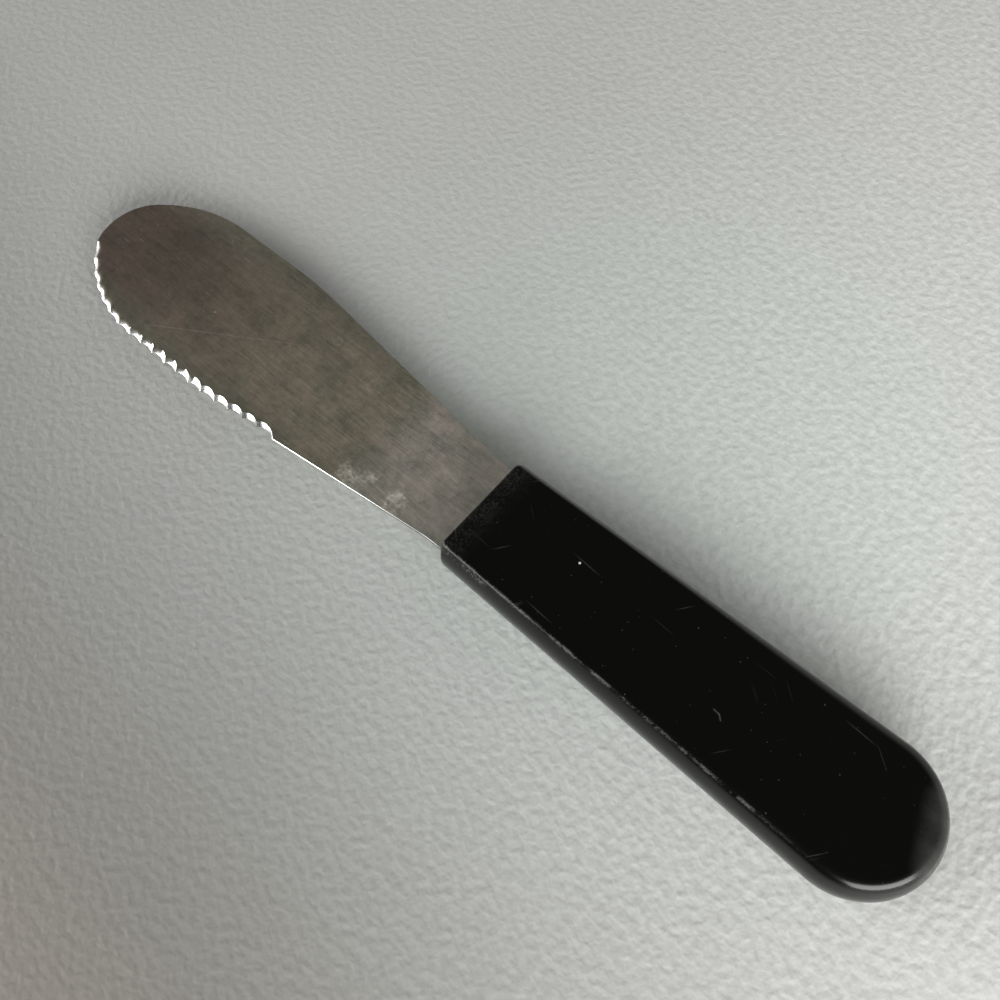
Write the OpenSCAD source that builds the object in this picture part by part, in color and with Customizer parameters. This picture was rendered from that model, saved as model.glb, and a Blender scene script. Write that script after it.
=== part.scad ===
// Spreader knife. A wide, round-nosed blade is stamped from stainless sheet in one
// piece with its tang, and scallops are ground along one edge. The handle is a flat
// plastic slab with bulging sides, moulded round the tang, which it grips through the
// tang's holes.
// The knife lies flat on its handle, with the tip at +X, the scalloped edge at +Y
// and +Z up. The origin is at the middle of its length, on the face it lies on.

/* [Handle] */
// Length of the handle, from its front face to its round end
handle_length = 100; // [85:1:125]
// Width of the handle at its front face, half way up its bulging sides
handle_front_width = 25.4; // [24.5:0.1:28]
// Width of the handle at its round end, half way up
handle_rear_width = 28.8; // [26:0.1:36]
// Thickness of the handle
handle_thickness = 11.6; // [8:0.1:16]
// How far the sides and the round end bulge past the edges of the flat faces
side_bulge = 1.8; // [0.8:0.1:2.4]
// Radius of the corners between the front face and the sides
handle_corner_radius = 0.9; // [0.4:0.1:1.5]
// Radius of the upper and lower edges of the front face
front_edge_radius = 0.5; // [0.2:0.1:0.8]

/* [Blade] */
// Length of the blade in front of the handle
blade_length = 122.6; // [100:0.1:150]
// Width of the blade over its widest stretch
blade_width = 36.4; // [32:0.1:42]
// Width of the blade where it meets the handle
root_width = 21.7; // [18:0.1:23.2]
// Thickness of the sheet
blade_thickness = 0.9; // [0.8:0.05:1.4]
// Straight length of the root in front of the handle
root_length = 1.5; // [1:0.5:12]
// Radius between the root and the flare
root_curve_radius = 60; // [40:1:90]
// Radius between the flare and the widest stretch
belly_radius = 110; // [80:1:150]
// Radius of the shoulders behind the nose
shoulder_radius = 38; // [30:1:50]
// Radius of the nose
nose_radius = 13; // [10:0.5:15]

/* [Scallops] */
// Number of scallops ground along the edge
scallop_count = 18; // [6:1:18]
// Distance from one scallop to the next along the edge
scallop_pitch = 4.14; // [3.8:0.02:4.3]
// Length of plain edge between the tip and the first scallop
plain_nose_length = 7.2; // [6:0.1:9]
// How far the first scallop reaches in from the edge on the upper face
first_reach = 2.1; // [1.8:0.05:2.3]
// How far the first scallop reaches in from the edge on the lower face
first_notch = 0.15; // [0.1:0.05:0.4]
// Radius of the wheel's rim at the first scallop
first_radius = 8; // [6:0.5:10]
// How far the last scallop reaches in from the edge on the upper face
last_reach = 1.7; // [1.5:0.05:1.9]
// How far the last scallop reaches in from the edge on the lower face
last_notch = 0.85; // [0.5:0.05:1]
// Radius of the wheel's rim at the last scallop
last_radius = 4; // [3:0.5:5]
// Angle by which the wheel's stroke leans towards the handle at the last scallop
last_lean = 28; // [0:1:30]

/* [Tang] */
// Length of the tang inside the handle
tang_length = 78; // [60:1:80]
// Width of the tang at the blade
tang_width = 16; // [12:0.5:18]
// Width of the tang at its round end
tang_end_width = 12; // [9:0.5:16]
// Number of locking holes that the handle's plastic runs through
lock_hole_count = 3; // [1:1:4]
// Diameter of a locking hole
lock_hole_diameter = 6; // [3:0.5:7]
// Distance from one locking hole to the next
lock_hole_pitch = 20; // [12:0.5:20]
// Gap that the plastic leaves round the tang's cut edges as it shrinks
mould_gap = 0.1; // [0.05:0.01:0.2]

/* [Hidden] */
$fn = 96;

// Where the widest stretch begins, as a share of the blade's length
widest_start_share = 0.605;
// Overrun of every cutting solid past what it cuts
overrun = 1;
// How far the blade's arcs reach past the lines beside them, so that they cross
blend = 0.02;
// Angle at which a round on the handle or the tang crosses the flat side next to it
meeting_angle = 5;

// Heights of the sheet, which sits in the middle of the handle's thickness
sheet_low = (handle_thickness - blade_thickness) / 2;
sheet_high = sheet_low + blade_thickness;

// Front face of the handle, measured from the middle of the knife
face_x = (handle_length - blade_length) / 2;

// Half widths
half_root = root_width / 2;
half_blade = blade_width / 2;

// Radius of the handle's round end, and the angle by which its sides leave its axis. The
// sides' bulge is an arc over the whole thickness
end_radius = handle_rear_width / 2;
side_radius = (side_bulge * side_bulge + handle_thickness * handle_thickness / 4) / side_bulge / 2;
side_reach = end_radius * cos(meeting_angle);
handle_taper = taper_angle(handle_front_width, handle_rear_width, handle_length, handle_corner_radius);

// The nose arc meets the shoulder arc where both head this far off the axis
nose_reach = shoulder_radius - nose_radius + blend;
nose_angle = acos((shoulder_radius - half_blade - blend) / nose_reach);
nose_centre = blade_length - nose_radius;
nose_start = nose_centre + nose_radius * sin(nose_angle);
shoulder_start = nose_centre - nose_reach * sin(nose_angle);
widest_start = widest_start_share * blade_length;

// The flare is the straight line that touches the root's arc and the belly's arc. It
// ends at the back where it comes down to the root's width
root_touch = root_curve_radius - blend;
belly_touch = belly_radius - blend;
flare_run = widest_start - root_length;
flare_drop = root_touch + belly_touch - (half_blade - half_root);
flare_angle = atan2(flare_run, flare_drop) - acos((root_touch + belly_touch) / norm([flare_run, flare_drop]));
flare_start = [root_length + root_touch * sin(flare_angle), half_root + root_touch * (1 - cos(flare_angle))];
flare_end = [widest_start - belly_touch * sin(flare_angle), half_blade - belly_touch * (1 - cos(flare_angle))];
flare_back = [flare_start[0] - (flare_start[1] - half_root) / tan(flare_angle), half_root];

// Lengths of the edge's stretches, going back from the tip
degree = PI / 180;
nose_run = nose_radius * (90 - nose_angle) * degree;
shoulder_run = shoulder_radius * nose_angle * degree;
widest_run = shoulder_start - widest_start;
belly_run = belly_radius * flare_angle * degree;

// A point on an arc and the way the edge faces there: [x, y, facing]
function on_arc(centre, radius, facing) =
    [centre[0] + radius * cos(facing), centre[1] + radius * sin(facing), facing];

// The edge at a distance from the tip, followed over its five stretches
function edge_at(run) =
    run < nose_run
        ? on_arc([nose_centre, 0], nose_radius, run / nose_radius / degree)
    : run < nose_run + shoulder_run
        ? on_arc([shoulder_start, half_blade + blend - shoulder_radius], shoulder_radius,
                 90 - nose_angle + (run - nose_run) / shoulder_radius / degree)
    : run < nose_run + shoulder_run + widest_run
        ? [shoulder_start - (run - nose_run - shoulder_run), half_blade, 90]
    : run < nose_run + shoulder_run + widest_run + belly_run
        ? on_arc([widest_start, half_blade - belly_touch], belly_radius,
                 90 + (run - nose_run - shoulder_run - widest_run) / belly_radius / degree)
    : on_flare(run - nose_run - shoulder_run - widest_run - belly_run);

function on_flare(run) =
    [flare_end[0] - run * cos(flare_angle), flare_end[1] - run * sin(flare_angle), 90 + flare_angle];

// Angle by which a tapered outline's sides leave the axis. Each side cuts a little into
// the round end and into the small round corner at the front
function taper_angle(front_width, end_width, length, corner) =
    let (run = length - end_width / 2 - corner, rise = front_width / 2 - corner)
    asin((end_width / 2 - corner) * cos(meeting_angle) / norm([run, rise])) - atan(rise / run);

// Everything between two stations along the blade
module between(from_x, to_x) {
    intersection() {
        translate([from_x, -blade_width])
            square([to_x - from_x, 2 * blade_width]);
        children();
    }
}

// What lies inside both of two equal circles, one for each side of the blade
module twin_arcs(centre_x, half_width, radius) {
    intersection_for(side = [-1, 1])
        translate([centre_x, side * (half_width - radius)])
            circle(r = radius, $fn = 720);
}

// The hollow between the root and the flare, one arc on each side
module root_hollow() {
    difference() {
        translate([root_length, -flare_start[1]])
            square([flare_start[0] - root_length, 2 * flare_start[1]]);
        for (side = [-1, 1])
            translate([root_length, side * (half_root + root_touch)])
                circle(r = root_curve_radius, $fn = 720);
    }
}

// Outline of the blade in front of the handle, stretch by stretch to the nose, with a
// strip as wide as the root running through them all
module blade_outline() {
    intersection() {
        translate([0, -half_blade])
            square([blade_length + overrun, blade_width]);
        union() {
            translate([0, -half_root])
                square([nose_centre, root_width]);
            root_hollow();
            polygon([flare_back, flare_end, [flare_end[0], -flare_end[1]], [flare_back[0], -flare_back[1]]]);
            between(flare_start[0], widest_start)
                twin_arcs(widest_start, half_blade + blend, belly_radius);
            translate([widest_start, -blade_width])
                square([widest_run, 2 * blade_width]);
            between(shoulder_start, nose_start)
                twin_arcs(shoulder_start, half_blade + blend, shoulder_radius);
            translate([nose_centre, 0])
                circle(r = nose_radius, $fn = 360);
        }
    }
}

// Outline between two straight sides that leave the axis by the taper angle, with a
// round end at the back and round corners at the front face
module tapered_outline(front_width, end_width, length, corner) {
    taper = taper_angle(front_width, end_width, length, corner);
    round_radius = end_width / 2;
    round_x = round_radius - length;
    corner_y = front_width / 2 - corner;
    beside = on_arc([round_x, 0], round_radius * cos(meeting_angle), 90 - taper);
    front = [beside[0] + length * cos(taper), beside[1] - length * sin(taper)];
    back = [beside[0] - end_width * cos(taper), beside[1] + end_width * sin(taper)];
    intersection() {
        polygon([front, back, [back[0], -back[1]], [front[0], -front[1]]]);
        union() {
            translate([round_x, 0])
                circle(r = round_radius);
            translate([round_x, -end_width])
                square([-corner - round_x, 2 * end_width]);
            translate([round_x, -corner_y])
                square([-round_x, 2 * corner_y]);
            for (y = [-corner_y, corner_y])
                translate([-corner, y])
                    circle(r = corner);
        }
    }
}

// The tang with its locking holes, run on a little in front of the handle's face.
// Inside the handle, the room for it is larger by a gap
module tang(gap) {
    hole_margin = (tang_length - (lock_hole_count - 1) * lock_hole_pitch) / 2;
    translate([0, 0, sheet_low])
        linear_extrude(blade_thickness)
            difference() {
                translate([overrun, 0])
                    tapered_outline(tang_width + 2 * gap, tang_end_width + 2 * gap,
                                    tang_length + gap + overrun, overrun / 2);
                for (i = [0 : lock_hole_count - 1])
                    translate([-hole_margin - i * lock_hole_pitch, 0])
                        circle(d = lock_hole_diameter - 2 * gap);
            }
}

// The rim of the wheel as it runs down and out over one place on the edge. It starts on
// the upper face and comes out below at such a slope that it leaves the notch there. The
// cylinder is turned half round, so that its seam lies away from the sheet
module scallop_cut(place, reach, notch, radius, lean) {
    slope = atan(blade_thickness / (reach - notch));
    stroke = reach + blade_thickness + overrun;
    translate([place[0], place[1], sheet_high])
        rotate([0, 0, place[2]])
            translate([-reach, 0, 0])
                rotate([0, 90 + slope, lean])
                    translate([-radius, 0, -overrun])
                        rotate([0, 0, 180])
                            cylinder(r = radius, h = stroke + overrun);
}

// All the scallops. What is given for the first and the last runs evenly between them
module scallop_cuts() {
    first = [first_reach, first_notch, first_radius, 0];
    last = [last_reach, last_notch, last_radius, last_lean];
    for (i = [0 : scallop_count - 1]) {
        cut = first + (last - first) * i / (scallop_count - 1);
        scallop_cut(edge_at(plain_nose_length + (i + 0.5) * scallop_pitch), cut[0], cut[1], cut[2], cut[3]);
    }
}

module blade() {
    color([0.45, 0.42, 0.38])
        translate([face_x, 0, 0]) {
            difference() {
                translate([0, 0, sheet_low])
                    linear_extrude(blade_thickness)
                        blade_outline();
                scallop_cuts();
            }
            tang(0);
        }
}

// What rounding takes off a square edge at the origin, where the body lies at -X and +Y
module edge_waste(radius) {
    difference() {
        translate([-radius, -overrun])
            square(radius + overrun);
        translate([-radius, radius])
            circle(r = radius / cos(meeting_angle));
    }
}

// The same cuts on the lower and the upper face of the handle
module both_faces() {
    children();
    translate([0, 0, handle_thickness])
        mirror([0, 0, 1])
            children();
}

// Section through the handle to the right of a line, flat above and below, with its
// bulging side at a distance from the origin
module side_section(start, reach) {
    intersection() {
        translate([start, 0])
            square([reach - start + overrun, handle_thickness]);
        union() {
            translate([start - overrun, -overrun])
                square([reach - side_radius - start + overrun, handle_thickness + 2 * overrun]);
            translate([reach - side_radius, handle_thickness / 2])
                circle(r = side_radius, $fn = 180);
        }
    }
}

// Moves into the frame of the side at +Y: along the side, with the round end's centre as
// the origin
module along_side() {
    translate([end_radius - handle_length, 0, 0])
        rotate([0, 0, -handle_taper])
            children();
}

// Everything on the inner side of the bulging side at +Y
module inside_long_side() {
    along_side()
        translate([-handle_rear_width, 0, 0])
            rotate([90, 0, 90])
                linear_extrude(handle_length + handle_rear_width)
                    side_section(-handle_rear_width, side_reach);
}

// Rounds the corner between the front face and the bulging side at +Y
module corner_cut() {
    front_run = (handle_length - end_radius - side_reach * sin(handle_taper)) / cos(handle_taper);
    along_side()
        translate([front_run, side_reach - side_radius, handle_thickness / 2])
            rotate([0, -90, 0])
                rotate_extrude(angle = 180)
                    translate([side_radius, 0])
                        edge_waste(handle_corner_radius);
}

// Rounds an edge of the front face
module front_edge_cut() {
    translate([0, handle_front_width / 2 + overrun, 0])
        rotate([90, 0, 0])
            linear_extrude(handle_front_width + 2 * overrun)
                edge_waste(front_edge_radius);
}

module handle_slab() {
    difference() {
        intersection() {
            inside_long_side();
            mirror([0, 1, 0])
                inside_long_side();
            union() {
                translate([end_radius - handle_length, 0, 0])
                    rotate_extrude()
                        side_section(0, end_radius);
                translate([end_radius - handle_length, -handle_rear_width, 0])
                    cube([handle_length - end_radius, 2 * handle_rear_width, handle_thickness]);
            }
        }
        corner_cut();
        mirror([0, 1, 0])
            corner_cut();
        both_faces()
            front_edge_cut();
    }
}

module handle() {
    color([0.04, 0.04, 0.04])
        translate([face_x, 0, 0])
            difference() {
                handle_slab();
                tang(mould_gap);
            }
}

blade();
handle();
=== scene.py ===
"""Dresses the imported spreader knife: a brushed steel blade, a worn black handle, and a stage."""

import math

import bmesh
import bpy
from bpy.props import FloatProperty, FloatVectorProperty, IntProperty, PointerProperty
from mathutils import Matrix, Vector


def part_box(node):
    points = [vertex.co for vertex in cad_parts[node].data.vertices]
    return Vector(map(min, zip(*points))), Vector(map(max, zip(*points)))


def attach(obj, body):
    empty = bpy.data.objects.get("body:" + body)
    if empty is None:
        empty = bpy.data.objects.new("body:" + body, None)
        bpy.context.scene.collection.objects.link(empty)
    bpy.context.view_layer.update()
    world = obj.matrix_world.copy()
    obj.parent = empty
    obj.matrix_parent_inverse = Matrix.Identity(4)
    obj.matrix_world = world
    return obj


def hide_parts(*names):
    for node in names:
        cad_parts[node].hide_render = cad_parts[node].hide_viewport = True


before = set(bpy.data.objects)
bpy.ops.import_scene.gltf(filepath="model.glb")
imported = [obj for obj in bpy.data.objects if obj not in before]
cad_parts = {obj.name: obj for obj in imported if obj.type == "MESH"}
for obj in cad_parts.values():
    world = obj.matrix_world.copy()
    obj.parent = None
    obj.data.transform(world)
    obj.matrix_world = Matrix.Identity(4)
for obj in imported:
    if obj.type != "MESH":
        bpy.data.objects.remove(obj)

bl_info = {
    "name": "Spreader knife",
    "version": (1, 0, 0),
    "blender": (4, 5, 0),
    "location": "3D View > Sidebar > Spreader",
    "description": "Makes the steel blade and the black handle of a spreader knife, and a stage",
    "category": "Object",
}

MM = 0.001
HANDLE_LOW, HANDLE_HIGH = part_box("handle")
FRONT_X = HANDLE_HIGH[0]
TOP_Z = HANDLE_HIGH[2]
SHEET_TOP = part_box("blade")[1][2]

# Heights in millimetres of the two upper faces, where marks lie on them
STEEL_TOP = 6.25
PLASTIC_TOP = 11.6

# How near two places count as one, and how far apart they count as clearly two
SAME_PLACE = 0.02 * MM
CLEAR_STEP = 0.1 * MM

# The blade's scalloped side begins past this distance from its middle line
SCALLOPED_SIDE = 8 * MM

# Angles between faces: nearly flat, the plain edge's, shaded sharp, and worn round
FLAT_ANGLE = math.radians(0.5)
PLAIN_EDGE_ANGLE = math.radians(30)
SHARP_ANGLE = math.radians(32)
WORN_ANGLE = math.radians(38)

# Where the rounding of the handle's rims starts to grow, and the length over which it does
SWELL_START = -45 * MM
SWELL_LENGTH = 40 * MM

# Short scratches: degrees, then length, spacing and width in millimetres, then share of places
STEEL_SCUFFS = (
    (24, 4.5, 1.1, 0.17, 0.5),
    (-31, 3.6, 1.3, 0.16, 0.4),
    (63, 2.6, 1.5, 0.16, 0.3),
    (7, 9, 0.9, 0.14, 0.5),
    (-9, 14, 1.2, 0.14, 0.4),
)
PLASTIC_SCRATCHES = (
    (38, 14, 0.6, 0.15, 0.07),
    (-52, 10, 0.55, 0.14, 0.06),
    (3, 18, 0.6, 0.15, 0.05),
)
PLASTIC_DUST = (
    (17, 1.5, 1.0, 0.15, 0.09),
    (-48, 1.1, 0.9, 0.13, 0.08),
)

# Each lamp's place, the point that it faces, its size and its watts
LAMPS = {
    "window_light": ((0.66, 0.62, 0.27), (0, 0, 0), (1.08, 0.5), 9),
    "room_light": ((-1.11, 0.58, 0.5), (-0.09, 0, 0), (1.2, 0.72), 26),
}
LAMP_COLOUR = (1, 1, 0.99)
WALL_COLOUR = (1, 0.985, 0.96, 1)
DOORWAY_HEADING = (-0.085, 0.974, 0.208)
SENSOR_WIDTH = 36


# Sizes and colours


class BladeSizes(bpy.types.PropertyGroup):
    """Sizes of the work done on the blade after it is stamped and its scallops are ground."""

    bevel_width: FloatProperty(
        name="Bevel width",
        description="Width of the bevel ground along the plain part of the scalloped edge",
        default=0.11 * MM,
        min=0.05 * MM,
        max=0.6 * MM,
        precision=5,
        unit="LENGTH",
    )
    bevel_end: FloatProperty(
        name="Bevel end",
        description="Where the plain edge ends and the scallops begin, along the knife",
        default=38.6 * MM,
        precision=5,
        unit="LENGTH",
    )
    burr_width: FloatProperty(
        name="Rounding",
        description="Width of the small rounding that wear leaves on the blade's other edges",
        default=0.07 * MM,
        min=0.01 * MM,
        max=0.2 * MM,
        precision=5,
        unit="LENGTH",
    )
    merge_distance: FloatProperty(
        name="Merge distance",
        description="Distance under which the packed mesh's loose corners are joined",
        default=0.002 * MM,
        precision=7,
        unit="LENGTH",
    )


class HandleSizes(bpy.types.PropertyGroup):
    """Sizes of the moulded handle."""

    front_width: FloatProperty(
        name="Front width",
        description="Width of the handle at its front face, half way up",
        default=25.4 * MM,
        precision=5,
        unit="LENGTH",
    )
    rear_width: FloatProperty(
        name="Rear width",
        description="Width of the handle over its round end, half way up",
        default=28.7 * MM,
        precision=5,
        unit="LENGTH",
    )
    side_bulge: FloatProperty(
        name="Side bulge",
        description="How far the sides and the round end bulge past the edges of the flat faces",
        default=1.8 * MM,
        precision=5,
        unit="LENGTH",
    )
    side_steps: IntProperty(
        name="Side steps",
        description="Number of steps up a bulging side",
        default=8,
        min=4,
        max=32,
    )
    long_steps: IntProperty(
        name="Long steps",
        description="Number of steps along a side, from the round end to the front",
        default=14,
        min=2,
        max=64,
    )
    crest_width: FloatProperty(
        name="Crest width",
        description="How far the rounding of a flat face's edge reaches to both sides of it",
        default=0.45 * MM,
        precision=5,
        unit="LENGTH",
    )
    rear_crest_width: FloatProperty(
        name="Rear crest width",
        description="The same reach round the handle's rear, where the edge is rounder",
        default=1.3 * MM,
        precision=5,
        unit="LENGTH",
    )
    front_edge_radius: FloatProperty(
        name="Front edge radius",
        description="Radius of the upper and lower edges of the front face",
        default=0.5 * MM,
        precision=5,
        unit="LENGTH",
    )
    corner_radius: FloatProperty(
        name="Corner radius",
        description="Radius of the corners between the front face and the sides",
        default=0.9 * MM,
        precision=5,
        unit="LENGTH",
    )
    end_sides: IntProperty(
        name="End sides",
        description="Number of sides of the full circle that the round end is cut from",
        default=144,
        min=48,
        max=288,
    )
    edge_steps: IntProperty(
        name="Edge steps",
        description="Number of steps across a rounded edge",
        default=5,
        min=3,
        max=16,
    )


class Finishes(bpy.types.PropertyGroup):
    """Colours of the steel, the plastic and the table."""

    # Painted reflection: the next three steel colours run from the tip to the root. They stand for
    # the room reflected in the flat face, darker and browner at the tip and paler at the root.
    steel_tip_painted_reflection: FloatVectorProperty(
        name="Steel at the tip",
        description="Colour of the worn steel near the tip",
        default=(0.205, 0.165, 0.136),
        subtype="COLOR",
        min=0,
        max=1,
    )
    steel_middle_painted_reflection: FloatVectorProperty(
        name="Steel in the middle",
        description="Colour of the steel along the middle of the blade",
        default=(0.61, 0.555, 0.43),
        subtype="COLOR",
        min=0,
        max=1,
    )
    steel_root_painted_reflection: FloatVectorProperty(
        name="Steel at the root",
        description="Colour of the steel next to the handle",
        default=(0.89, 0.84, 0.73),
        subtype="COLOR",
        min=0,
        max=1,
    )
    steel_rim: FloatVectorProperty(
        name="Steel at the rim",
        description="Greenish tint of the steel along the edges",
        default=(0.34, 0.335, 0.265),
        subtype="COLOR",
        min=0,
        max=1,
    )
    fresh_steel: FloatVectorProperty(
        name="Ground steel",
        description="Colour of the steel where it has been ground",
        default=(0.82, 0.82, 0.81),
        subtype="COLOR",
        min=0,
        max=1,
    )
    plastic: FloatVectorProperty(
        name="Plastic",
        description="Colour of the moulded plastic",
        default=(0.0015, 0.0015, 0.0013),
        subtype="COLOR",
        min=0,
        max=1,
    )
    # This whitened colour also carries the painted sheen along the crest on the window side.
    worn_plastic: FloatVectorProperty(
        name="Worn plastic",
        description="Whitened colour of the plastic where it is rubbed",
        default=(0.16, 0.16, 0.15),
        subtype="COLOR",
        min=0,
        max=1,
    )
    table: FloatVectorProperty(
        name="Table",
        description="Colour of the table top where it is brightest",
        default=(0.80, 0.81, 0.785),
        subtype="COLOR",
        min=0,
        max=1,
    )
    cool_table: FloatVectorProperty(
        name="Cool table",
        description="Greener colour of the table top round the knife",
        default=(0.80, 0.845, 0.81),
        subtype="COLOR",
        min=0,
        max=1,
    )
    warm_table: FloatVectorProperty(
        name="Warm table",
        description="Browner colour of the table top towards the window",
        default=(0.80, 0.75, 0.66),
        subtype="COLOR",
        min=0,
        max=1,
    )


class StageSizes(bpy.types.PropertyGroup):
    """Sizes of the stage, the lamps and the camera."""

    table_size: FloatProperty(
        name="Table size",
        description="Length of a side of the table top",
        default=8,
        unit="LENGTH",
    )
    camera_place: FloatVectorProperty(
        name="Camera place",
        description="Where the camera stands",
        default=(-83.71 * MM, 46.15 * MM, 184.49 * MM),
        precision=5,
        subtype="TRANSLATION",
        unit="LENGTH",
    )
    camera_turn: FloatVectorProperty(
        name="Camera turn",
        description="How the camera is turned",
        default=(math.radians(25.542), math.radians(6.148), math.radians(-137.761)),
        subtype="EULER",
        unit="ROTATION",
    )
    lens: FloatProperty(
        name="Lens",
        description="Focal length in millimetres on a sensor 36 mm wide",
        default=36,
        min=10,
        max=200,
    )


# Shader maths


class Value:
    """One socket of a material. Python's operators on it add Math nodes."""

    def __init__(self, recipe, socket):
        self.recipe = recipe
        self.socket = socket

    def maths(self, operation, *others):
        return self.recipe.node("ShaderNodeMath", {"operation": operation}, (self, *others))

    def __add__(self, other):
        return self.maths("ADD", other)

    __radd__ = __add__

    def __mul__(self, other):
        return self.maths("MULTIPLY", other)

    __rmul__ = __mul__

    def __sub__(self, other):
        return self.maths("SUBTRACT", other)

    def __rsub__(self, other):
        return self.recipe.node("ShaderNodeMath", {"operation": "SUBTRACT"}, (other, self))

    def __abs__(self):
        return self.maths("ABSOLUTE")

    def __lt__(self, other):
        return self.maths("LESS_THAN", other)

    def __gt__(self, other):
        return self.maths("GREATER_THAN", other)

    def smaller(self, other):
        return self.maths("MINIMUM", other)

    def rise(self, low, high):
        """0 below low and 1 above high, smooth between them; high may be the lower one."""
        settings = {"interpolation_type": "SMOOTHSTEP"}
        if low < high:
            return self.recipe.node("ShaderNodeMapRange", settings, (self, low, high, 0, 1))
        return self.recipe.node("ShaderNodeMapRange", settings, (self, high, low, 1, 0))

    def also(self, output):
        """Another output of the same node."""
        return Value(self.recipe, self.socket.node.outputs[output])


class Recipe:
    """A material's or the world's nodes."""

    def __init__(self, tree):
        self.tree = tree
        self.tree.nodes.clear()

    @classmethod
    def material(cls, name):
        made = bpy.data.materials.new(name)
        made.use_nodes = True
        recipe = cls(made.node_tree)
        recipe.made = made
        return recipe

    def node(self, kind, settings=None, values=(), output=0):
        """Adds a node. Settings are set first, and values go to its sockets by order or by name."""
        added = self.tree.nodes.new(kind)
        for name, setting in (settings or {}).items():
            setattr(added, name, setting)
        places = values.items() if isinstance(values, dict) else enumerate(values)
        for place, value in places:
            if isinstance(value, Value):
                self.tree.links.new(value.socket, added.inputs[place])
            elif value is not None:
                added.inputs[place].default_value = value
        return Value(self, added.outputs[output]) if added.outputs else added

    def vector(self, operation, *values, output=0):
        return self.node("ShaderNodeVectorMath", {"operation": operation}, values, output)

    def place_mm(self):
        """The place on the knife in millimetres."""
        return self.scaled(self.node("ShaderNodeTexCoord", output="Object"), 1 / MM)

    def scaled(self, vector, factor):
        """A vector or a colour times a number."""
        values = {0: vector, "Scale": factor}
        return self.node("ShaderNodeVectorMath", {"operation": "SCALE"}, values)

    def split(self, vector):
        """The three parts of a vector."""
        first = self.node("ShaderNodeSeparateXYZ", None, (vector,))
        return [first, first.also(1), first.also(2)]

    def blend(self, factor, first, second):
        """A colour between two."""
        settings = {"data_type": "RGBA"}
        values = {"Factor": factor, 6: self.colour(first), 7: self.colour(second)}
        return self.node("ShaderNodeMix", settings, values, output=2)

    @staticmethod
    def colour(value):
        return value if isinstance(value, Value) else (*value, 1)

    def noise(self, place, size, detail=2, roughness=0.5, seed=0, output=0):
        """Noise whose lumps have this size in millimetres, or these sizes along the three axes."""
        sizes = size if isinstance(size, tuple) else (size, size, size)
        lumps = self.vector("MULTIPLY", place, tuple(1 / s for s in sizes))
        settings = {"noise_dimensions": "4D"}
        values = {"Vector": lumps, "W": seed, "Scale": 1, "Detail": detail, "Roughness": roughness}
        return self.node("ShaderNodeTexNoise", settings, values, output)

    def full_noise(self, place, size, detail, roughness, seed):
        """Noise that is stretched to run from 0 to 1."""
        return self.noise(place, size, detail, roughness, seed).rise(0.3, 0.7)

    def turned(self, place, degrees):
        """The place, turned about the upright axis."""
        settings = {"vector_type": "POINT"}
        turn = (0, 0, math.radians(degrees))
        return self.node("ShaderNodeMapping", settings, {"Vector": place, "Rotation": turn})

    def dashes(self, place, degrees, length, spacing, width, share):
        """Short straight scratches in one direction. Only a share of the places has one."""
        turned = self.turned(place, degrees)
        cells = self.vector("MULTIPLY", turned, (1 / length, 1 / spacing, 0))
        settings = {"voronoi_dimensions": "3D", "feature": "F1"}
        values = {"Vector": cells, "Scale": 1, "Randomness": 1}
        distance = self.node("ShaderNodeTexVoronoi", settings, values, "Distance")
        chance = self.split(distance.also("Color"))[0]
        return distance.rise(width / spacing, 0) * (chance < share)

    def all_dashes(self, place, runs):
        """Several runs of dashes together."""
        total, *others = [self.dashes(place, *run) for run in runs]
        for other in others:
            total = total + other
        return total

    def from_line(self, place, start, end):
        """Distance in millimetres from a straight line between two points."""
        run = Vector(end) - Vector(start)
        arm = self.vector("SUBTRACT", place, start)
        along = self.vector("DOT_PRODUCT", arm, tuple(run / run.length_squared), output=1)
        held = self.node("ShaderNodeClamp", None, (along, 0, 1))
        return self.vector("DISTANCE", arm, self.scaled(tuple(run), held), output=1)

    def from_point(self, place, centre):
        """Distance in millimetres from a point."""
        return self.vector("DISTANCE", place, centre, output=1)

    def bump(self, height, strength, depth, normal=None):
        """A bump whose height of 1 stands for this depth in millimetres."""
        values = {"Strength": strength, "Distance": depth * MM, "Height": height, "Normal": normal}
        return self.node("ShaderNodeBump", None, values)

    def surface(self, **values):
        """The material's one shader. Underscores in names stand for spaces."""
        sockets = {name.replace("_", " "): value for name, value in values.items()}
        shader = self.node("ShaderNodeBsdfPrincipled", None, sockets)
        self.node("ShaderNodeOutputMaterial", None, {"Surface": shader})
        return self.made


# Materials


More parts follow.
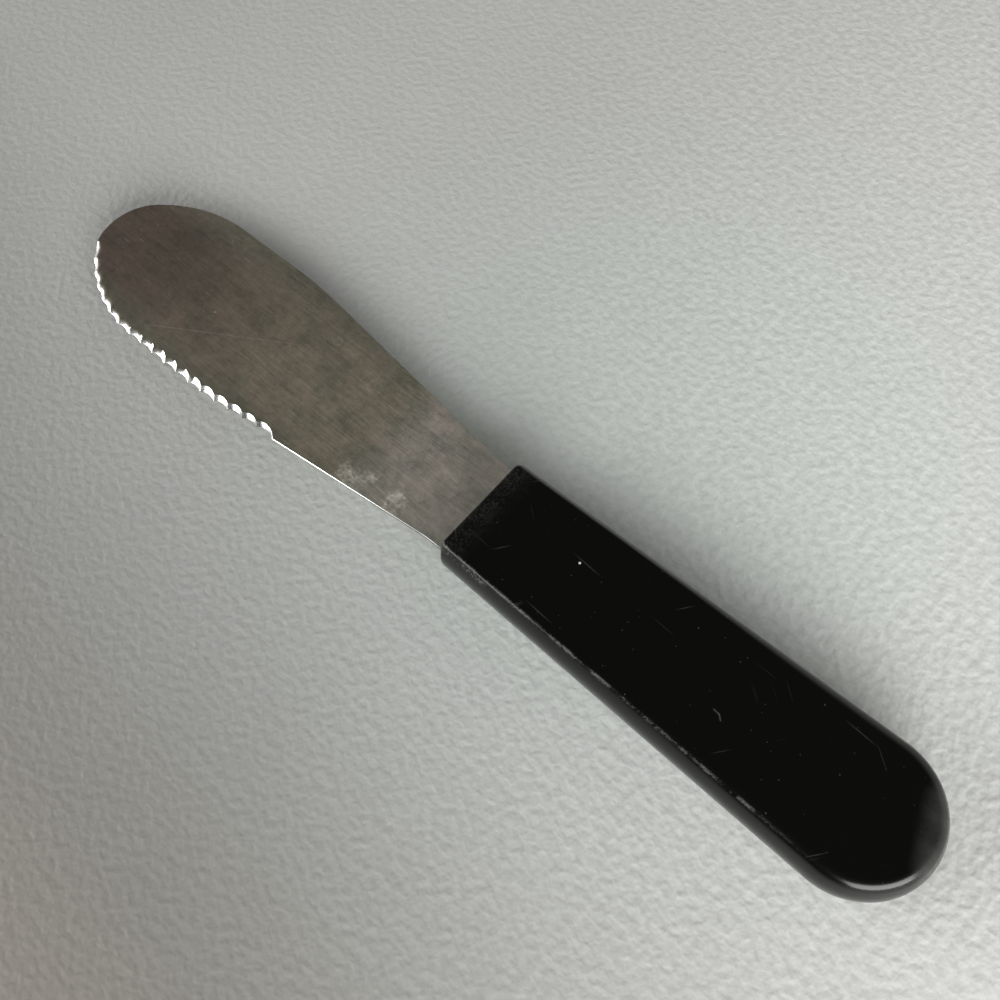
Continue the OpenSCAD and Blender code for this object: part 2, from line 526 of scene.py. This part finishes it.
def blade_steel(finishes):
    """Brushed steel with a painted reflection, darker and browner at the tip and brighter at the
    root, stained, and bright where it is ground.
    """
    recipe = Recipe.material("blade_steel")
    place = recipe.place_mm()
    x, y, _ = recipe.split(place)

    fine_grain = recipe.full_noise(place, (6, 0.14, 0.14), detail=4, roughness=0.8, seed=1.3)
    broad_grain = recipe.full_noise(place, (30, 1.1, 1.1), detail=4, roughness=0.7, seed=4.1)
    clouds = recipe.full_noise(place, (9, 7, 7), detail=5, roughness=0.65, seed=7.7)
    mottle = recipe.full_noise(place, 1.4, detail=5, roughness=0.8, seed=2.9)

    scuffs = recipe.all_dashes(place, STEEL_SCUFFS)
    scuffs = scuffs * recipe.noise(place, 9, detail=1, seed=9.2).rise(0.36, 0.6)
    from_scratch = recipe.from_line(place, (79.7, 13.7, STEEL_TOP), (47.9, -4.3, STEEL_TOP))
    long_scratch = from_scratch.rise(0.22, 0.03)
    ring_radius = 1.05
    from_ring = recipe.from_point(place, (41.8, -10.3, STEEL_TOP)) - ring_radius
    ring = abs(from_ring).rise(0.16, 0.03)
    nick = recipe.from_point(place, (70.2, 1.9, STEEL_TOP)).rise(0.4, 0.1)

    ragged = recipe.noise(place, 1.6, detail=5, roughness=0.7, seed=5.5)
    from_first = recipe.from_line(place, (17, 11.4, STEEL_TOP), (13, 10.2, STEEL_TOP))
    from_second = recipe.from_point(place, (4.3, 9.4, STEEL_TOP))
    first_stain = (from_first + ragged * 6).rise(5.9, 4.6)
    second_stain = (from_second + ragged * 5).rise(5.4, 4.2)
    stains = (first_stain + second_stain) * (mottle * 1.1 - 0.1)
    root_film = x.rise(-1, -6) * mottle

    # Painted reflection: the colour runs from dark brown at the tip to pale at the root, standing
    # in for the room reflected in the flat face.
    colour = recipe.blend(x.rise(105, 15), finishes.steel_tip_painted_reflection, finishes.steel_middle_painted_reflection)
    colour = recipe.blend(x.rise(22, 9), colour, finishes.steel_root_painted_reflection)
    rim = abs(y).rise(8, 18) * x.rise(5, 40)
    colour = recipe.blend(rim * 0.7, colour, finishes.steel_rim)
    tint = recipe.blend(clouds, (0.97, 1.02, 1.0), (1.03, 0.98, 0.98))
    colour = recipe.vector("MULTIPLY", colour, tint)
    shade = 0.66 + fine_grain * 0.3 + broad_grain * 0.08 + clouds * 0.1 + mottle * 0.2
    colour = recipe.scaled(colour, shade)
    marks = scuffs * 0.24 + long_scratch * 0.16 + ring * 0.2 + nick * 0.5
    marks = marks + stains * 0.28 + root_film * 0.2
    colour = recipe.blend(marks.smaller(1), colour, (0.9, 0.9, 0.87))

    normal = recipe.node("ShaderNodeNewGeometry", output="Normal")
    upright = abs(recipe.split(normal)[2])
    ground = upright.rise(0.985, 0.93)
    shine = 0.3 + x.rise(-2, 26) * 0.7
    colour = recipe.blend(ground, colour, recipe.scaled(tuple(finishes.fresh_steel), shine))

    worn = 0.26 + fine_grain * 0.08 + clouds * 0.06 + stains * 0.16 + mottle * 0.04
    roughness = worn - ground * 0.1
    height = fine_grain * 0.4 + broad_grain * 0.15 + scuffs * 0.6 + long_scratch * 0.5 + ring * 0.4
    bumped = recipe.bump(height, 0.4, 0.012)
    return recipe.surface(
        Base_Color=colour,
        Metallic=1.0,
        Roughness=roughness,
        Normal=bumped,
    )


def handle_plastic(finishes, sizes):
    """Black moulded plastic, whitened along its upper edges by wear and by a painted sheen that is
    stronger on the +y side, with scuffs, scratches and dust.
    """
    recipe = Recipe.material("handle_plastic")
    place = recipe.place_mm()
    x, y, z = recipe.split(place)

    front = FRONT_X / MM
    end_x = (HANDLE_LOW[0] + sizes.rear_width / 2) / MM
    flat_front = (sizes.front_width / 2 - sizes.side_bulge) / MM
    flat_rear = (sizes.rear_width / 2 - sizes.side_bulge) / MM
    slope = (flat_rear - flat_front) / (front - end_x)
    from_side = flat_front + (front - x) * slope - abs(y)
    flat_place = recipe.vector("MULTIPLY", place, (1, 1, 0))
    from_end = flat_rear - recipe.from_point(flat_place, (end_x, 0, 0))
    behind = x < end_x
    inward = from_side * (1 - behind) + from_end * behind
    upper = z.rise(TOP_Z / MM - 1.2, TOP_Z / MM - 0.4)

    blotches = recipe.noise(place, (5, 3, 3), detail=4, roughness=0.65, seed=3.1)
    grit = recipe.noise(place, 0.45, detail=4, roughness=0.75, seed=6.4)
    texture = recipe.noise(place, 0.3, detail=3, roughness=0.6, seed=8.8)
    waves = recipe.noise(place, (22, 9, 9), detail=2, roughness=0.5, seed=2.2)

    crest = abs(inward).rise(0.42, 0.05) * upper
    # Painted highlight: the rubbed whitening of the crest is made four times stronger on the +y
    # side, which faces the window, than on the -y side.
    window_side_painted_sheen = y.rise(-4, 6) * 0.75 + 0.25
    rubbed_and_sheen = crest * window_side_painted_sheen * (blotches * 0.9 + grit * 0.75).rise(0.74, 1.04)
    rubbed_and_sheen = rubbed_and_sheen * x.rise(-98, -78)
    near_front = recipe.from_line(place, (-12.6, 11.4, 10.8), (-22.5, 11.7, 10.6)).rise(1.25, 0.1)
    chipped = near_front * (blotches * 0.6 + grit).rise(0.72, 0.98)
    haze_place = recipe.from_line(place, (-106.5, -8.5, 10.8), (-110.3, 1, 10.8)).rise(4.5, 0.8)
    haze = haze_place * (grit * 0.2 + waves).rise(0.4, 0.75)
    front_haze = (front - x).rise(7, 0.6) * upper * (grit + blotches * 0.4).rise(0.6, 1.0)

    scratches = recipe.all_dashes(place, PLASTIC_SCRATCHES)
    hook_bend = (-70.5, 3.3, PLASTIC_TOP)
    hook = recipe.from_line(place, (-69.3, 3.2, PLASTIC_TOP), hook_bend).rise(0.2, 0.03)
    hook = hook + recipe.from_line(place, hook_bend, (-71.3, 4.0, PLASTIC_TOP)).rise(0.2, 0.03)
    dust = recipe.all_dashes(place, PLASTIC_DUST)
    bright_speck = recipe.from_point(place, (-34.3, -2.7, PLASTIC_TOP)).rise(0.3, 0.15)

    # The wear here carries real rubbing and chips, and also the painted sheen of the crest on the
    # window side.
    wear = rubbed_and_sheen * 0.7 + chipped * 0.7 + haze * 0.26 + front_haze * 0.16
    marks = scratches * 0.2 + hook * 0.3 + dust * blotches.rise(0.3, 0.65) * 0.6
    worn = (wear + marks * upper).smaller(1)
    colour = recipe.blend(worn, finishes.plastic, finishes.worn_plastic)
    colour = recipe.blend(bright_speck, colour, (0.7, 0.7, 0.68))

    roughness = 0.14 + blotches * 0.08 + texture * 0.04 + worn * 0.25
    height = texture * 0.2 + waves * 3 + grit * (rubbed_and_sheen + chipped) * 1.4 - scratches * 0.5
    bumped = recipe.bump(height, 0.35, 0.03)
    return recipe.surface(
        Base_Color=colour,
        Roughness=roughness,
        Normal=bumped,
        Specular_IOR_Level=0.34,
    )


def table_top(finishes):
    """Pale grey laminate with a fine pebbled texture, and painted light and shade: brighter towards
    -y and towards the rear of the knife (-x), darker far out past the tip (+x).
    """
    recipe = Recipe.material("table_top")
    place = recipe.place_mm()
    warp = recipe.noise(place, 2.2, detail=2, seed=1.0, output=1)
    warped = recipe.vector("ADD", place, recipe.vector("MULTIPLY", warp, (0.9, 0.9, 0)))
    pebbles = recipe.noise(warped, 1.7, detail=1, roughness=0.35, seed=3.0)
    fine = recipe.noise(place, 0.5, detail=2, roughness=0.5, seed=5.0)
    patches = recipe.noise(place, 14, detail=3, roughness=0.6, seed=6.0)
    x, y, _ = recipe.split(place)
    across = y + x * 0.1
    rearward = x * 0.9 + y * 0.4
    # Painted light and shade: the tone brightens towards -y and towards -x and darkens far out
    # along +x, standing in for uneven lamp light and sheen on the table.
    painted_light_and_speckle = 0.285 + across.rise(105, -25) * 0.385 + across.rise(-20, -150) * 0.06
    painted_light_and_speckle = painted_light_and_speckle + rearward.rise(30, -120) * 0.2 - x.rise(70, 220) * 0.11
    speckle = pebbles * 0.2 + fine * 0.14 - 0.17
    grain = 0.6 + rearward.rise(70, -90) + rearward.rise(40, -40) * across.rise(10, -40) * 0.5
    painted_light_and_speckle = painted_light_and_speckle * (0.96 + speckle * grain + patches * 0.08)
    # Painted shade: darker towards +x and -y.
    forward = x * 0.65 - y * 0.45
    painted_light_and_speckle = painted_light_and_speckle * (1.035 - forward.rise(-110, 90) * 0.175)
    round_knife = recipe.from_point(place, (-20, -35, 0)).rise(115, 30)
    colour = recipe.blend(round_knife, finishes.table, finishes.cool_table)
    colour = recipe.blend(across.rise(50, 125), colour, finishes.warm_table)
    colour = recipe.scaled(colour, painted_light_and_speckle)
    bumped = recipe.bump(pebbles + fine * 0.1, 1.0, 0.26)
    return recipe.surface(Base_Color=colour, Roughness=0.55, Normal=bumped)


# Working on meshes


def pick(piece):
    """Makes one piece the active one and the only selected one."""
    bpy.ops.object.select_all(action="DESELECT")
    piece.select_set(True)
    bpy.context.view_layer.objects.active = piece


def start_work(piece):
    """Picks one piece and opens it in edit mode."""
    pick(piece)
    bpy.ops.object.mode_set(mode="EDIT")


def end_work():
    """Closes edit mode."""
    bpy.ops.object.mode_set(mode="OBJECT")


def choose(piece, kind, wanted, *details):
    """Selects the faces or edges that a test picks, and nothing else. Details go to the test."""
    bpy.ops.mesh.select_mode(type=kind)
    bpy.ops.mesh.select_all(action="DESELECT")
    mesh = bmesh.from_edit_mesh(piece.data)
    for element in mesh.faces if kind == "FACE" else mesh.edges:
        if wanted(element, *details):
            element.select_set(True)
    bmesh.update_edit_mesh(piece.data)


def apply_modifier(piece, kind, **settings):
    """Gives a piece a modifier with these settings, and applies it."""
    added = piece.modifiers.new(kind.lower(), kind)
    for name, value in settings.items():
        setattr(added, name, value)
    pick(piece)
    bpy.ops.object.modifier_apply(modifier=added.name)


def finish_piece(piece, material, node):
    """Shades a piece, gives it its material, and lets it stand for its CAD node."""
    pick(piece)
    bpy.ops.object.shade_smooth_by_angle(angle=SHARP_ANGLE)
    apply_modifier(piece, "WEIGHTED_NORMAL", keep_sharp=True)
    piece.data.materials.clear()
    piece.data.materials.append(material)
    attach(piece, "root")
    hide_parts(node)


def at(value, target):
    """Whether two lengths are the same but for rounding."""
    return abs(value - target) < SAME_PLACE


def runs_up(edge):
    """Whether one end of an edge is higher than the other."""
    return edge.verts[0].co.z != edge.verts[1].co.z


def lies_at(edge, height):
    """Whether both ends of an edge are at this height."""
    return all(at(end.co.z, height) for end in edge.verts)


def between(start, end, share):
    """The number at this share of the way from one to the other."""
    return start + (end - start) * share


# Pieces


class SPREADER_OT_blade(bpy.types.Operator):
    """Make the steel blade: the scalloped sheet with its bevel ground and its edges worn"""

    bl_idname = "spreader.blade"
    bl_label = "Blade"

    def execute(self, context):
        sizes = context.scene.spreader_blade
        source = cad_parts["blade"]
        blade = bpy.data.objects.new("steel_blade", source.data.copy())
        context.scene.collection.objects.link(blade)
        start_work(blade)
        bpy.ops.mesh.select_all(action="SELECT")
        bpy.ops.mesh.remove_doubles(threshold=sizes.merge_distance)
        bpy.ops.mesh.dissolve_limited(angle_limit=FLAT_ANGLE)
        choose(blade, "EDGE", self.on_plain_edge, sizes)
        bpy.ops.mesh.bevel(
            offset_type="OFFSET", offset=sizes.bevel_width, segments=1, affect="EDGES"
        )
        end_work()
        apply_modifier(
            blade,
            "BEVEL",
            limit_method="ANGLE",
            angle_limit=WORN_ANGLE,
            width=sizes.burr_width,
            segments=2,
        )
        finish_piece(blade, blade_steel(context.scene.spreader_finishes), "blade")
        return {"FINISHED"}

    @staticmethod
    def on_plain_edge(edge, sizes):
        """Whether an edge belongs to the upper side of the plain edge in front of the handle."""
        ends = [corner.co for corner in edge.verts]
        along = abs(ends[0].x - ends[1].x) > abs(ends[0].y - ends[1].y)
        upper = all(at(end.z, SHEET_TOP) and end.y > SCALLOPED_SIDE for end in ends)
        plain = all(FRONT_X - CLEAR_STEP < end.x < sizes.bevel_end for end in ends)
        return along and upper and plain and edge.calc_face_angle(0) > PLAIN_EDGE_ANGLE


class SPREADER_OT_handle(bpy.types.Operator):
    """Make the black handle: a slab with bulging sides that widens to a round end"""

    bl_idname = "spreader.handle"
    bl_label = "Handle"

    def execute(self, context):
        sizes = context.scene.spreader_handle
        radius = sizes.rear_width / 2
        end_x = HANDLE_LOW[0] + radius
        bpy.ops.object.select_all(action="DESELECT")
        bpy.ops.mesh.primitive_cylinder_add(
            vertices=sizes.end_sides, radius=radius, depth=TOP_Z, location=(end_x, 0, TOP_Z / 2)
        )
        handle = context.object
        handle.name = "black_handle"
        bpy.ops.object.transform_apply(location=True, rotation=True, scale=True)
        start_work(handle)
        self.bulge(handle, sizes, radius, end_x)
        bpy.ops.mesh.select_all(action="SELECT")
        bpy.ops.mesh.bisect(
            plane_co=(end_x, 0, 0), plane_no=(1, 0, 0), clear_outer=True, use_fill=True
        )
        choose(handle, "FACE", lambda face: face.normal.x > 0.99)
        bpy.ops.mesh.extrude_region_move(TRANSFORM_OT_translate={"value": (FRONT_X - end_x, 0, 0)})
        for side in (1, -1):
            choose(handle, "EDGE", self.on_front_side, side)
            bpy.ops.transform.translate(value=(0, side * (sizes.front_width / 2 - radius), 0))
        choose(handle, "EDGE", self.on_front_side, 1, -1)
        bpy.ops.mesh.bevel(offset=sizes.corner_radius, segments=5, affect="EDGES")
        for step in range(1, sizes.long_steps):
            cut_x = end_x + (FRONT_X - end_x) * step / sizes.long_steps
            bpy.ops.mesh.select_all(action="SELECT")
            bpy.ops.mesh.bisect(plane_co=(cut_x, 0, 0), plane_no=(1, 0, 0))
        choose(handle, "EDGE", self.crosses_flat_face)
        bpy.ops.mesh.dissolve_edges(use_verts=False)
        end_work()
        self.weigh_edges(handle, sizes)
        apply_modifier(
            handle,
            "BEVEL",
            limit_method="WEIGHT",
            width=sizes.rear_crest_width,
            segments=sizes.edge_steps,
        )
        finishes = context.scene.spreader_finishes
        finish_piece(handle, handle_plastic(finishes, sizes), "handle")
        return {"FINISHED"}

    @staticmethod
    def bulge(handle, sizes, radius, end_x):
        """Cuts the cylinder's wall into rings and draws them in, so that it bulges half way up."""
        choose(handle, "EDGE", runs_up)
        bpy.ops.mesh.subdivide(number_cuts=sizes.side_steps - 1)
        half = TOP_Z / 2
        side_radius = (sizes.side_bulge**2 + half**2) / sizes.side_bulge / 2
        for step in range(sizes.side_steps + 1):
            height = TOP_Z * step / sizes.side_steps
            inset = side_radius - math.sqrt(side_radius**2 - (height - half) ** 2)
            share = (radius - inset) / radius
            choose(handle, "EDGE", lies_at, height)
            bpy.ops.transform.resize(value=(share, share, 1), center_override=(end_x, 0, height))

    @staticmethod
    def on_front_side(edge, *sides):
        """Whether an edge runs up one of these sides of the front face."""
        ends = [corner.co for corner in edge.verts]
        in_front = all(at(end.x, FRONT_X) for end in ends)
        on_side = any(all(end.y * side > MM for end in ends) for side in sides)
        return in_front and on_side and abs(ends[0].z - ends[1].z) > CLEAR_STEP

    @staticmethod
    def crosses_flat_face(edge):
        """Whether an edge lies inside the upper or the lower face, where it stands for nothing."""
        return all(abs(face.normal.z) > 0.999 for face in edge.link_faces)

    @staticmethod
    def weigh_edges(handle, sizes):
        """Gives the rims of the flat faces their rounding, more along the front and the rear."""
        mesh = handle.data
        weights = mesh.attributes.new("bevel_weight_edge", "FLOAT", "EDGE")
        for edge in mesh.edges:
            ends = [mesh.vertices[i].co for i in edge.vertices]
            if not any(all(at(end.z, height) for end in ends) for height in (0, TOP_Z)):
                continue
            run = (ends[1] - ends[0]).normalized()
            middle = (ends[0] + ends[1]) / 2
            if middle.x > FRONT_X - sizes.corner_radius - CLEAR_STEP:
                reach = between(sizes.crest_width, sizes.front_edge_radius, abs(run.y))
            else:
                share = min(max((SWELL_START - middle.x) / SWELL_LENGTH, 0), 1)
                share = share**2 * (3 - 2 * share)
                reach = between(sizes.crest_width, sizes.rear_crest_width, share)
            weights.data[edge.index].value = reach / sizes.rear_crest_width


class SPREADER_OT_stage(bpy.types.Operator):
    """Make the table, the lamps, the surroundings and the camera"""

    bl_idname = "spreader.stage"
    bl_label = "Stage"

    def execute(self, context):
        sizes = context.scene.spreader_stage
        bpy.ops.object.select_all(action="DESELECT")
        bpy.ops.mesh.primitive_plane_add(size=sizes.table_size, location=(0, 0, 0))
        table = context.object
        table.name = "table_top"
        table.data.materials.append(table_top(context.scene.spreader_finishes))
        for name, lamp in LAMPS.items():
            self.softbox(name, *lamp)
        self.surroundings(context)
        self.camera(context, sizes)
        context.scene.view_settings.view_transform = "Standard"
        return {"FINISHED"}

    @staticmethod
    def softbox(name, place, target, size, watts):
        """A rectangular lamp that faces a point."""
        bpy.ops.object.light_add(type="AREA", location=place)
        lamp = bpy.context.object
        lamp.name = name
        lamp.rotation_euler = (Vector(target) - Vector(place)).to_track_quat("-Z", "Y").to_euler()
        lamp.data.shape = "RECTANGLE"
        lamp.data.size, lamp.data.size_y = size
        lamp.data.energy = watts
        lamp.data.color = LAMP_COLOUR

    @staticmethod
    def surroundings(context):
        """A room with pale walls and a dim ceiling."""
        world = bpy.data.worlds.new("room")
        context.scene.world = world
        world.use_nodes = True
        recipe = Recipe(world.node_tree)
        heading = recipe.node("ShaderNodeTexCoord", output="Generated")
        along, _, up = recipe.split(heading)
        doorway = recipe.vector("DOT_PRODUCT", heading, DOORWAY_HEADING, output=1).rise(0.8, 0.95)
        wall = up.rise(0.85, 0.2)
        strength = (0.09 + wall * 0.72 - along * 0.02) * (1 - doorway * 0.92)
        values = {"Color": WALL_COLOUR, "Strength": strength}
        shader = recipe.node("ShaderNodeBackground", None, values)
        recipe.node("ShaderNodeOutputWorld", None, {"Surface": shader})

    @staticmethod
    def camera(context, sizes):
        """A camera at the photograph's viewing angle."""
        bpy.ops.object.camera_add(location=sizes.camera_place, rotation=sizes.camera_turn)
        camera = context.object
        camera.data.sensor_width = SENSOR_WIDTH
        camera.data.lens = sizes.lens
        camera.data.clip_start = 5 * MM
        camera.data.dof.use_dof = False
        context.scene.camera = camera


# The add-on


class SPREADER_PT_panel(bpy.types.Panel):
    """Lists what makes the knife and its stage"""

    bl_idname = "SPREADER_PT_panel"
    bl_label = "Spreader knife"
    bl_space_type = "VIEW_3D"
    bl_region_type = "UI"
    bl_category = "Spreader"

    def draw(self, context):
        for operator in OPERATORS:
            self.layout.operator(operator.bl_idname)


GROUPS = {
    "spreader_blade": BladeSizes,
    "spreader_handle": HandleSizes,
    "spreader_finishes": Finishes,
    "spreader_stage": StageSizes,
}
OPERATORS = (SPREADER_OT_blade, SPREADER_OT_handle, SPREADER_OT_stage)


def register():
    for group in GROUPS.values():
        bpy.utils.register_class(group)
    for name, group in GROUPS.items():
        setattr(bpy.types.Scene, name, PointerProperty(type=group))
    for operator in OPERATORS:
        bpy.utils.register_class(operator)
    bpy.utils.register_class(SPREADER_PT_panel)


def unregister():
    bpy.utils.unregister_class(SPREADER_PT_panel)
    for operator in reversed(OPERATORS):
        bpy.utils.unregister_class(operator)
    for name in GROUPS:
        delattr(bpy.types.Scene, name)
    for group in reversed(GROUPS.values()):
        bpy.utils.unregister_class(group)


def main():
    register()
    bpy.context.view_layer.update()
    bpy.ops.spreader.blade()
    bpy.ops.spreader.handle()
    bpy.ops.spreader.stage()


if __name__ == "__main__":
    main()
